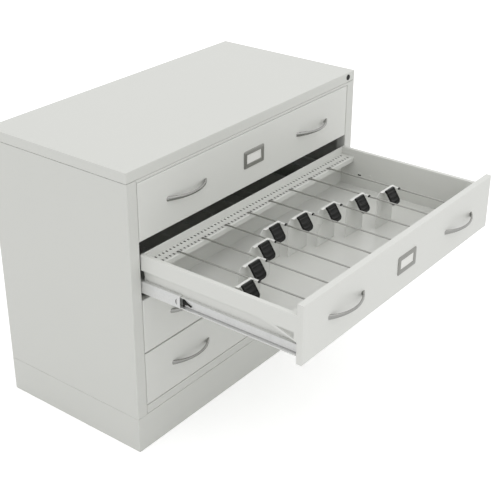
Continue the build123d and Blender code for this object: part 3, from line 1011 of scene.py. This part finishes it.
@dataclass
class DrawerUnit:
    """One drawer: front, box, two bow handles, a card frame and the pressings of its walls."""

    number: int
    handle_place: float = 255.92 * MM
    foot_deep: float = 10.5 * MM
    grip_deep: float = 4.6 * MM
    grip_tall: float = 7.0 * MM
    foot_tall: float = 12.0 * MM
    bow_power: float = 2.7
    bow_points: int = 20
    bow_half_steps: int = 16
    frame_border: float = 11.0 * MM
    frame_corner: float = 3.0 * MM
    frame_least_corner: float = 0.6 * MM
    card_corner: float = 1.0 * MM
    card_under: float = 0.05 * MM
    card_edge: float = 0.45 * MM
    card_crown: float = 0.62 * MM
    card_reach: float = 1.2
    card_flat: float = 0.9
    wall_inside: float = 410.1 * MM
    tab_wide: float = 10.0 * MM
    tab_tall: float = 8.0 * MM
    tab_root: float = 0.3 * MM
    tab_lip: float = 0.6 * MM
    tab_proud: float = 1.8 * MM
    # Size of the black strip of painted shade in the slit under each tab.
    slit_tall: float = 4.5 * MM
    slit_gap: float = 0.2 * MM
    slit_proud: float = 0.2 * MM
    tab_place: Pair = (58.0 * MM, 60.0 * MM)
    boss_place: Pair = (96.0 * MM, 66.0 * MM)
    boss_radius: float = 4.5 * MM
    boss_proud: float = 1.4 * MM
    boss_turns: tuple[float, ...] = (0.0, 0.4, 0.8, 1.2, 1.5)

    @property
    def body(self) -> str:
        """Name of the drawer's body."""
        return f"drawer_{self.number}"

    def build(self) -> None:
        """Dresses the drawer and makes its fittings."""
        dress(Look.DRAWER, f"drawer_front_{self.number}", f"drawer_box_{self.number}")
        self.handles()
        self.card_frame()
        self.pressings()

    def handles(self) -> None:
        """Two tapered bows, lofted from foot to foot."""
        node = f"handles_{self.number}"
        low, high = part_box(node)
        foot, rise, middle = high.x - self.handle_place, high.y - low.y, (low.z + high.z) / 2
        section = oval(self.bow_power, self.bow_points)
        shell = Shell()
        for side in (-1, 1):
            rings = []
            for step in range(2 * self.bow_half_steps + 1):
                share = -1 + step / self.bow_half_steps
                ox, oy = arc_point(foot, rise, share)
                ix, iy = arc_point(foot - self.foot_deep, rise - self.grip_deep, share)
                half_tall = self.grip_tall / 2 + (self.foot_tall - self.grip_tall) / 2 * (ox / foot) ** 2
                centre = spot(side * self.handle_place + (ox + ix) / 2, high.y - (oy + iy) / 2, middle)
                across = spot((ox - ix) / 2, -(oy - iy) / 2)
                upright = spot(z=half_tall)
                rings.append([centre + across * a + upright * b for a, b in section])
            shell.rings(rings)
        settle(shell.piece(f"{node}_bows", Look.HANDLE, smooth=50.0), self.body, Look.HANDLE, node)

    def pressings(self) -> None:
        """Lanced tabs, black strips of painted shade in the slits under them, and round bosses, on the insides
        of both walls.
        """
        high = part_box(f"drawer_box_{self.number}")[1]
        turns = self.boss_turns
        dome = [(self.boss_radius * math.cos(a), self.boss_proud * math.sin(a)) for a in turns]
        raised, slit_shades = Shell(), Shell()
        for side in (-1, 1):
            wall = side * self.wall_inside
            out, along = spot(-side), spot(y=-self.tab_wide)
            tab = spot(wall, high.y - self.tab_place[0], high.z - self.tab_place[1])
            foot = tab - spot(z=self.tab_tall)
            lips = [foot + out * self.tab_proud, foot + out * self.tab_lip]
            raised.prism([tab, tab + out * self.tab_root, *lips], along)
            # Under each tab a black strip paints the shade in its slit.
            slit = foot - spot(z=self.slit_gap)
            low = slit - spot(z=self.slit_tall)
            slit_shades.prism([slit, slit + out * self.slit_proud, low + out * self.slit_proud, low], along)
            boss = spot(wall, high.y - self.boss_place[0], high.z - self.boss_place[1])
            raised.domed(dome, boss, out)
        wall_name = f"wall_pressings_{self.number}"
        settle(raised.piece(wall_name, Look.DRAWER, edge=0.2 * MM), self.body, Look.DRAWER)
        settle(slit_shades.piece(f"wall_slits_{self.number}", Look.BLACK), self.body, Look.BLACK)

    def card_frame(self) -> None:
        """Pressed frame with a soft crown and a fine inner lip, and a blank card in it."""
        node = f"label_holder_{self.number}"
        low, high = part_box(node)
        wide, tall, deep = high.x - low.x, high.z - low.z, high.y - low.y
        centre = spot((low.x + high.x) / 2, high.y, (low.z + high.z) / 2)
        frame_shell = Shell()
        frame_shell.rings(self.frame_rings(centre, wide, tall, deep), looped=True)
        made = frame_shell.piece(f"{node}_frame", Look.LABEL, smooth=45.0)
        settle(made, self.body, Look.LABEL, node)
        reach = self.card_reach * self.frame_border
        inner = rounded_outline(wide - reach, tall - reach, self.card_corner)
        levels = ((1.0, self.card_under), (1.0, self.card_edge), (self.card_flat, self.card_crown))
        card = Shell()
        card.rings([[centre + spot(x * part, -out, z * part) for x, z in inner] for part, out in levels])
        settle(card.piece(f"{node}_card", Look.CARD), self.body, Look.CARD)

    def frame_rings(self, centre: Vector, wide: float, tall: float, deep: float) -> list[list[Vector]]:
        """Sections of the card frame, one at each point of its outline.

        Args:
            centre: Middle of its back.
            wide: Its width.
            tall: Its height.
            deep: How far it stands out.

        Returns:
            Sections all the way round.
        """
        profile = [(0.0, 0.0), (0.0, 0.55), (0.04, 0.85), (0.1, 0.95), (0.8, 0.95)]
        profile += [(0.86, 1.0), (0.93, 1.0), (1.0, 0.6), (1.0, 0.0)]
        loops = []
        for inward, out in profile:
            step = inward * self.frame_border
            corner = max(self.frame_corner - step, self.frame_least_corner)
            outline = rounded_outline(wide - 2 * step, tall - 2 * step, corner)
            loops.append([centre + spot(x, -out * deep, z) for x, z in outline])
        return [list(section) for section in zip(*loops)]


# ---------------------------------------------------------------- runners


@dataclass
class Runners:
    """Telescopic runners of one drawer, with their screws, ball tracks and black plastic parts."""

    number: int
    screw_places: tuple[float, ...] = (72.0 * MM, 187.0 * MM, 330.0 * MM)
    screw_rise: float = 2.0 * MM
    retainer_thick: float = 1.2 * MM
    retainer_place: float = 13.0 * MM
    retainer_sunk: float = 0.2 * MM
    retainer_half_turn: float = 52.0
    retainer_steps: int = 12
    crescent: float = 9.5 * MM
    crescent_wide: float = 2.6 * MM
    crescent_tip: float = 1.0 * MM
    lever_thick: float = 2.0 * MM
    lever_gap: float = 3.0 * MM
    lever_clear: float = 2.2 * MM
    lever_bar: float = 3.2 * MM
    lever_root: float = 6.0 * MM
    arm_bend: float = 12.0 * MM
    arm_end: float = 25.0 * MM
    channel_x: float = 413.2 * MM
    web_x: float = 412.6 * MM
    # Size of the ball tracks, whose darker steel also paints the shade along the creases.
    track_high: float = 2.4 * MM
    track_proud: float = 0.5 * MM
    track_slope: float = 0.5 * MM
    track_inset: float = 4.0 * MM
    sheet: float = 1.3 * MM

    @property
    def body(self) -> str:
        """Name of the drawer's body."""
        return f"drawer_{self.number}"

    @property
    def member(self) -> tuple[Vector, Vector]:
        """Lowest and highest corner of the drawer members."""
        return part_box(f"drawer_runners_{self.number}")

    def build(self) -> None:
        """Dresses the members and makes the fittings."""
        dress(Look.ZINC, f"intermediate_runners_{self.number}", f"drawer_runners_{self.number}")
        self.fixings()
        self.levers()
        self.retainers()
        self.tracks_and_shade()

    def fixings(self) -> None:
        """Screws through the drawer member's web."""
        low, high = self.member
        height = (low.z + high.z) / 2 + self.screw_rise
        for label, side in SIDES.items():
            places = [spot(side * self.web_x, low.y + place, height) for place in self.screw_places]
            PanHead().row(f"runner_screws_{self.number}_{label}", self.body, places, spot(side))

    def levers(self) -> None:
        """Release levers in the drawer members' channels: upright bar, web and thumb arm."""
        low, high = self.member
        start, middle = low.y + self.lever_place(), (low.z + high.z) / 2
        outline = self.lever_outline((high.z - low.z) / 2 - self.lever_clear)
        shell = Shell()
        for side in SIDES.values():
            ring = [spot(side * self.channel_x, start - forward, middle + up) for forward, up in outline]
            shell.prism(ring, spot(side * self.lever_thick))
        made = shell.piece(f"runner_levers_{self.number}", Look.BLACK, edge=0.3 * MM)
        settle(made, self.body, Look.BLACK)

    def lever_place(self) -> float:
        """Distance from a drawer member's front end to its lever, just ahead of the open middle member."""
        member, middle = (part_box(f"{kind}_runners_{OPEN_DRAWER}")[0].y for kind in ("drawer", "intermediate"))
        return middle - self.lever_gap - member

    def lever_outline(self, half: float) -> list[Pair]:
        """Outline of a release lever.

        Args:
            half: Half the clear height of the channel.

        Returns:
            Forward and upward distances in metres.
        """
        bar, root, bend, end = self.lever_bar, self.lever_root, self.arm_bend, self.arm_end
        web_above = [(bar + 1.0 * MM, half * 0.6), (root, half * 0.32), (bend, 0.5 * MM)]
        thumb = [(end - 2.0 * MM, -3.4 * MM), (end, -5.0 * MM), (end - 1.5 * MM, -6.8 * MM)]
        web_below = [(bend, -4.6 * MM), (root, -half * 0.45), (bar + 0.6 * MM, -half * 0.75)]
        back = [(bar, -half), (0.0, -half), (-1.2 * MM, 0.0)]
        return [(0.0, half), (bar, half), *web_above, *thumb, *web_below, *back]

    def retainers(self) -> None:
        """Crescent retainers of the ball cages, set in the front end of the intermediate members."""
        low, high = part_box(f"intermediate_runners_{self.number}")
        middle, start = (low.z + high.z) / 2, low.y + self.retainer_place - self.crescent
        step = 2 * self.retainer_half_turn / self.retainer_steps
        turn = [math.radians(-self.retainer_half_turn + k * step) for k in range(self.retainer_steps + 1)]
        outline = [(self.crescent * math.cos(a), self.crescent * math.sin(a)) for a in turn]
        for a in reversed(turn):
            across = self.crescent - self.crescent_wide * math.cos(a * 1.6)
            outline.append((across * math.cos(a), (self.crescent - self.crescent_tip) * math.sin(a)))
        shell = Shell()
        for side, web in zip(SIDES.values(), (high.x, low.x)):
            face = web + side * self.retainer_sunk
            ring = [spot(face, start + away, middle + up) for away, up in outline]
            shell.prism(ring, spot(-side * self.retainer_thick))
        piece = shell.piece(f"runner_retainers_{self.number}", Look.BLACK)
        settle(piece, f"intermediate_{self.number}", Look.BLACK)

    def tracks_and_shade(self) -> None:
        """Ball tracks along the creases of the drawer members, in darker plain steel that also paints the shade
        of the creases.
        """
        low, high = self.member
        half = self.track_high / 2
        along = spot(y=high.y - low.y - 2 * self.track_inset)
        section = ((0.0, -half), (0.0, half), (self.track_proud, half - self.track_slope),
                   (self.track_proud, self.track_slope - half))
        shell = Shell()
        for side in SIDES.values():
            for height in (low.z + self.sheet + half, high.z - self.sheet - half):
                start = spot(side * self.web_x, low.y + self.track_inset, height)
                shell.prism([start + spot(side * out, 0, up) for out, up in section], along)
        # The tracks' darker steel is partly painted shade of the creases.
        settle(shell.piece(f"runner_tracks_{self.number}", Look.BAR), self.body, Look.BAR)


# ---------------------------------------------------------------- divider rack and followers


@dataclass
class GuideRods:
    """Eight wires hooked through the slotted rails of the open drawer."""

    count: int = 8
    radius: float = 2.0 * MM
    bend: float = 3.0 * MM
    rail_sheet: float = 1.2 * MM
    rail_wide: float = 40.0 * MM
    # Sizes of the black channels of painted shade under the rail slots.
    shade_channel_deep: float = 5.0 * MM
    shade_channel_sheet: float = 0.4 * MM
    shade_channel_inset: float = 4.0 * MM
    shade_channel_near: float = 2.5 * MM
    shade_channel_far: float = 1.5 * MM

    def build(self) -> None:
        """Dresses the rails and draws the wires."""
        dress(Look.DRAWER, "slotted_rails", "divider_rack_1", "divider_rack_3", "divider_rack_4")
        self.slot_shade()
        low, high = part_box("guide_rods")
        first = low.x + self.radius
        back, front, axis = high.y - self.radius, low.y + self.radius, high.z - self.radius
        path = ((back, low.z), (back, axis), (front, axis), (front, low.z))
        seed = Repeats.points([spot(first, y, z) for y, z in path], [(0, 1), (1, 2), (2, 3)])
        values = {
            "Rods": self.count,
            "Pitch": (high.x - low.x - 2 * self.radius) / (self.count - 1),
            "Radius": self.radius,
            "Bend": self.bend,
            "Finish": Look.WIRE.material,
        }
        piece = Repeats.grown("guide_rods_wire", seed, Repeats.rods(), values)
        settle(piece, f"drawer_{OPEN_DRAWER}", Look.WIRE, "guide_rods")

    def slot_shade(self) -> None:
        """Black channels under the slots of both rails: painted shade, seen through the slots."""
        low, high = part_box("slotted_rails")
        top = high.z - self.rail_sheet
        floor = top - self.shade_channel_deep
        along = spot(high.x - low.x - 2 * self.shade_channel_inset)
        shell = Shell()
        for start, facing in ((high.y, -1), (low.y, 1)):
            near, far = start + facing * self.shade_channel_near, start + facing * (self.rail_wide - self.shade_channel_far)
            wall, sole = facing * self.shade_channel_sheet, floor + self.shade_channel_sheet
            outer = [(near, top), (near, floor), (far, floor), (far, top)]
            inner = [(far - wall, top), (far - wall, sole), (near + wall, sole), (near + wall, top)]
            shell.prism([spot(low.x + self.shade_channel_inset, y, z) for y, z in outer + inner], along)
        # The black channels are painted shade that darkens the slots from below.
        settle(shell.piece("slot_liners", Look.BLACK), f"drawer_{OPEN_DRAWER}", Look.BLACK)


@dataclass
class Follower:
    """One sliding follower: folded plate with a sloping tongue and a rod ear, and a moulded pad."""

    number: int
    sheet: float = 1.2 * MM
    flange: float = 9.2 * MM
    flange_beyond: float = 1.2 * MM
    bend: float = 2.0 * MM
    bend_steps: int = 5
    shoulder: float = 10.0 * MM
    rod_radius: float = 2.0 * MM
    ear_inset: float = 3.5 * MM
    ear_gap: float = 0.3 * MM
    ear_long: float = 14.0 * MM
    shoe_gap: float = 0.1 * MM
    shoe_thick: float = 1.8 * MM
    shoe_long: float = 3.5 * MM
    pad_head: float = 5.0 * MM
    pad_thick: float = 4.6 * MM
    pad_seat: float = 3.1 * MM
    pad_corner: float = 14.0 * MM
    pad_relief: float = 1.6 * MM
    pad_rail: float = 3.0 * MM
    pad_steps: int = 30
    heel_share: float = 0.16
    toe_inset: Pair = (0.6 * MM, 1.5 * MM)
    toe_round: float = 0.3 * MM
    crown_start: float = 0.9
    crown_deep: float = 1.1 * MM
    floor_shares: tuple[float, ...] = (0.0, 0.25, 0.5)
    floor_insets: tuple[float, ...] = (4.0 * MM, 1.0 * MM, 0.0)
    rail_insets: tuple[float, ...] = (1.6 * MM, 0.7 * MM, 0.2 * MM, 0.0)
    ridges: tuple[float, ...] = (0.22, 0.5, 0.78)
    ridge_half: float = 0.03
    ridge_slope: float = 0.05
    end_wall: float = 0.09
    tongue_beyond: float = 0.9 * MM
    tongue_root: float = 3.2 * MM
    tongue_drop: float = 2.2 * MM
    tongue_shares: Pair = (0.1, 0.98)
    tongue_end: float = 0.985
    tongue_least: float = 4.0 * MM
    tongue_steps: int = 13

    @property
    def body(self) -> str:
        """Name of the follower's body."""
        return f"follower_{self.number}"

    @cached_property
    def plate(self) -> tuple[Vector, Vector]:
        """Lowest and highest corner of the plate's node."""
        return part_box(f"follower_plate_{self.number}")

    @cached_property
    def strut(self) -> tuple[Vector, Vector]:
        """Lowest and highest corner of the pad's node."""
        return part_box(f"follower_strut_{self.number}")

    @cached_property
    def middle(self) -> float:
        """Middle of the pad, from side to side."""
        return (self.strut[0].x + self.strut[1].x) / 2

    @cached_property
    def half(self) -> float:
        """Half the pad's width."""
        return (self.strut[1].x - self.strut[0].x) / 2

    @cached_property
    def slope(self) -> tuple[Vector, Vector, Vector]:
        """Top of the pad's sloping face, the vector down to its toe, and the direction that it faces."""
        low, high = self.strut
        top = spot(0, high.y - self.flange - self.pad_head, high.z)
        down = spot(0, low.y + self.toe_inset[0], low.z + self.toe_inset[1]) - top
        return top, down, spot(0, down.z, -down.y).normalized()

    def build(self) -> None:
        """Makes the plate and the pad."""
        self.metal()
        self.pad()

    def metal(self) -> None:
        """Folded plate: face, round bend, top flange, sloping tongue and rod ear."""
        node = f"follower_plate_{self.number}"
        low, high = self.plate
        back, top, bend = high.y, high.z, self.bend
        heights = (low.z, top - self.shoulder, top - self.shoulder * 0.5, top - bend)
        path = [(spot(0, back, z), spot(y=-1)) for z in heights]
        for step in range(1, self.bend_steps + 1):
            angle = math.pi / 2 * step / self.bend_steps
            out, up = math.cos(angle), math.sin(angle)
            path.append((spot(0, back - bend + bend * out, top - bend + bend * up), spot(0, -out, -up)))
        edge = back - self.flange
        path += [(spot(0, y, top), spot(z=-1)) for y in (edge, edge - self.flange_beyond)]
        rings = []
        for place, inward in path:
            drawn = (place.z - (top - self.shoulder)) / (self.shoulder - bend)
            wide = self.middle - low.x - self.shoulder * max(0.0, min(1.0, drawn))
            rings.append(self.strip(wide, place, -inward))
        shell = Shell()
        shell.rings(rings)
        shell.rings(self.tongue())
        self.arch(shell, back, self.ear_gap, self.sheet, self.ear_long)
        settle(shell.piece(f"{node}_sheet", Look.FOLLOWER, edge=0.25 * MM), self.body, Look.FOLLOWER, node)

    def tongue(self) -> list[list[Vector]]:
        """Sections of the metal tongue under the pad, which shows as a thin light line round it."""
        top, down, facing = self.slope
        half = self.half + self.tongue_beyond
        start = top - facing * self.pad_thick - spot(z=self.tongue_drop)
        root = self.strut[1].z - self.tongue_root - self.sheet * 0.5
        rings = [self.strip(half, spot(0, self.plate[1].y - self.flange, root), spot(z=1))]
        first, last = self.tongue_shares
        for step in range(self.tongue_steps + 1):
            share = first + (last - first) * math.sin(math.pi / 2 * step / self.tongue_steps)
            rest = (self.tongue_end - share) * down.length
            wide = max(half - self.rounding(self.pad_corner - rest), self.tongue_least)
            rings.append(self.strip(wide, start + down * share, facing))
        return rings

    def strip(self, half: float, place: Vector, facing: Vector) -> list[Vector]:
        """Section of the sheet.

        Args:
            half: Half its width.
            place: Point on its face.
            facing: Direction of its face.

        Returns:
            Four corners.
        """
        under = place - facing * self.sheet
        left, right = spot(self.middle - half), spot(self.middle + half)
        return [left + place, right + place, right + under, left + under]

    def arch(self, shell: Shell, back: float, gap: float, thick: float, long: float) -> None:
        """Half round over the rod.

        Args:
            shell: The shell that gets it.
            back: Its rear end.
            gap: Clearance round the rod.
            thick: Thickness of the arch.
            long: Its length forward.
        """
        centre = spot(self.plate[1].x - self.ear_inset, back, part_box("guide_rods")[1].z - self.rod_radius)
        inside = self.rod_radius + gap
        outside = inside + thick
        turn = [math.pi * step / 8 for step in range(9)]
        outline = [(outside, -MM), *((math.cos(a) * outside, math.sin(a) * outside) for a in turn)]
        outline += [(-outside, -MM), (-inside, -MM)]
        outline += [(math.cos(a) * inside, math.sin(a) * inside) for a in reversed(turn)] + [(inside, -MM)]
        shell.prism([centre + spot(x, 0, z) for x, z in outline], spot(y=-long))

    def pad(self) -> None:
        """Moulded pad: slab with rails down both sides, cross ridges, round toe, and a shoe on the rod."""
        node = f"follower_strut_{self.number}"
        shell = Shell()
        shell.rings([self.section(offset) for offset in self.stations()])
        self.arch(shell, self.plate[1].y - self.ear_long, self.shoe_gap, self.shoe_thick, self.shoe_long)
        settle(shell.piece(f"{node}_moulding", Look.BLACK, smooth=28.0), self.body, Look.BLACK, node)

    def stations(self) -> list[float]:
        """Places across the pad where its side profile is cut, as offsets from its middle."""
        ones = [self.half * share for share in self.floor_shares]
        ones += [self.half - self.pad_rail - inset for inset in self.floor_insets]
        ones += [self.half - inset for inset in self.rail_insets]
        return sorted({round(sign * place, 6) for place in ones for sign in (-1, 1)})

    def section(self, offset: float) -> list[Vector]:
        """Side profile of the pad, from its head down its face, round its toe and up its back.

        Args:
            offset: Place across the pad, from its middle.

        Returns:
            Points round the profile.
        """
        high = self.strut[1]
        top, down, facing = self.slope
        crown, head = self.crown(offset), high.y - self.flange
        reach = down * (1 - self.rounding(abs(offset) - (self.half - self.pad_corner)) / down.length)
        ring = [spot(0, head, high.z - self.pad_seat), spot(0, head, high.z - crown), top - spot(z=crown)]
        for step in range(self.pad_steps + 1):
            share = step / self.pad_steps
            ring.append(top + reach * share - facing * (self.relief(share, offset) + crown))
        tip, under = top + reach, facing * self.pad_thick
        ring += [tip - under * 0.6 + down.normalized() * self.toe_round, tip - under]
        ring.append(top + down * self.heel_share - under)
        return [point + spot(self.middle + offset) for point in ring]

    def rounding(self, beyond: float) -> float:
        """How much a round corner takes off, at a distance beyond where it starts."""
        share = max(0.0, min(1.0, beyond / self.pad_corner))
        return self.pad_corner * (1 - math.sqrt(1 - share * share))

    def crown(self, offset: float) -> float:
        """Rounding of the pad's long edges at a place across it."""
        beyond = max(0.0, abs(offset) / self.half - self.crown_start) / (1 - self.crown_start)
        return self.crown_deep * (1 - math.sqrt(max(0.0, 1 - beyond * beyond)))

    def relief(self, share: float, offset: float) -> float:
        """How far the face lies under its rails.

        Args:
            share: Place down the slope, from 0 to 1.
            offset: Place across the pad.

        Returns:
            Depth under the rails.
        """
        if abs(offset) > self.half - self.pad_rail - 0.1 * MM:
            return 0.0
        nearest = min(abs(share - ridge) for ridge in self.ridges)
        raised = max(0.0, 1 - max(0.0, nearest - self.ridge_half) / self.ridge_slope)
        ends = max(0.0, min(1.0, (self.end_wall - min(share, 1.0 - share)) / self.ridge_slope))
        return self.pad_relief * (1 - max(raised, ends))


# ---------------------------------------------------------------- stage


@dataclass
class Studio:
    """Pale floor, soft light and the camera."""

    azimuth: float = -52.01
    elevation: float = 27.25
    place: Triple = (-1.9602, -1.7188, 1.6570)
    lens: float = 76.39
    shift: Pair = (0.0180, -0.0076)
    sky: float = 1.0
    lamp_power: float = 7.0
    lamp_wide: float = 2.6
    lamp_place: Triple = (0.1, -2.6, 3.2)
    lamp_target: Triple = (0.0, -0.3, 0.4)
    floor_radius: float = 30.0
    floor_thick: float = 0.05
    floor_level: float = 0.86
    floor_glow: float = 0.42

    def build(self) -> None:
        """Makes the floor, the world, the lamp and the camera."""
        self.floor()
        self.world()
        self.lamp()
        self.camera()

    def floor(self) -> None:
        """Large pale floor that keeps the cabinet's shadow."""
        rim = circle(self.floor_radius, 48)
        shell = Shell()
        shell.rings([[spot(x, y, z) for x, y in rim] for z in (-self.floor_thick, 0.0)])
        item = shell.piece("studio_floor", Look.CARD)
        item.data.materials[0] = self.floor_paint()

    def floor_paint(self) -> bpy.types.Material:
        """Pale matt floor that glows to the camera alone, so that it shows as white."""
        made = bpy.data.materials.new("studio_floor_paint")
        graph = blank(made)
        seen = graph.node("ShaderNodeLightPath")["Is Camera Ray"]
        grey = {"Color": (self.floor_level, self.floor_level, self.floor_level, 1.0)}
        matt = graph.node("ShaderNodeBsdfDiffuse", None, grey)["BSDF"]
        white = {"Color": (1.0, 1.0, 1.0, 1.0), "Strength": seen * self.floor_glow}
        glow = graph.node("ShaderNodeEmission", None, white)["Emission"]
        both = graph.node("ShaderNodeAddShader", None, {0: matt, 1: glow})["Shader"]
        graph.node("ShaderNodeOutputMaterial", None, {"Surface": both})
        return made

    def world(self) -> None:
        """Even white light from all round, which the camera and the reflections also see."""
        sky = bpy.data.worlds.new("studio_sky")
        bpy.context.scene.world = sky
        graph = blank(sky)
        white = {"Color": (1.0, 1.0, 1.0, 1.0), "Strength": self.sky}
        light = graph.node("ShaderNodeBackground", None, white)["Background"]
        graph.node("ShaderNodeOutputWorld", None, {"Surface": light})

    def lamp(self) -> None:
        """One wide soft lamp above and in front."""
        data = bpy.data.lights.new("soft_lamp", "AREA")
        data.shape = "DISK"
        data.size = self.lamp_wide
        data.energy = self.lamp_power
        self.stand("soft_lamp", data, self.lamp_place, Vector(self.lamp_target) - Vector(self.lamp_place))

    def camera(self) -> None:
        """Camera at the photograph's viewing angle."""
        data = bpy.data.cameras.new("view")
        data.lens = self.lens
        data.sensor_width = 36.0
        data.shift_x, data.shift_y = self.shift
        a, e = math.radians(self.azimuth), math.radians(self.elevation)
        back = spot(math.sin(a) * math.cos(e), -math.cos(a) * math.cos(e), math.sin(e))
        bpy.context.scene.camera = self.stand("view", data, self.place, -back)

    @staticmethod
    def stand(name: str, data: bpy.types.ID, place: Sequence[float], facing: Vector) -> bpy.types.Object:
        """Sets up a lamp or camera.

        Args:
            name: Name of the object.
            data: The lamp or camera.
            place: Where it stands.
            facing: Direction that it looks in.

        Returns:
            The new object.
        """
        item = bpy.data.objects.new(name, data)
        item.location = place
        item.rotation_mode = "QUATERNION"
        item.rotation_quaternion = facing.to_track_quat("-Z", "Y")
        bpy.context.scene.collection.objects.link(item)
        return item


def main() -> None:
    """Builds every part of the picture in order."""
    logging.basicConfig(level=logging.INFO, format="%(message)s")
    bpy.context.scene.view_settings.view_transform = "Standard"
    Studio().build()
    Casework().build()
    dress(Look.ZINC, "cabinet_runners")
    for number in DRAWERS:
        DrawerUnit(number).build()
        Runners(number).build()
    GuideRods().build()
    for number in FOLLOWERS:
        Follower(number).build()


if __name__ == "__main__":
    main()
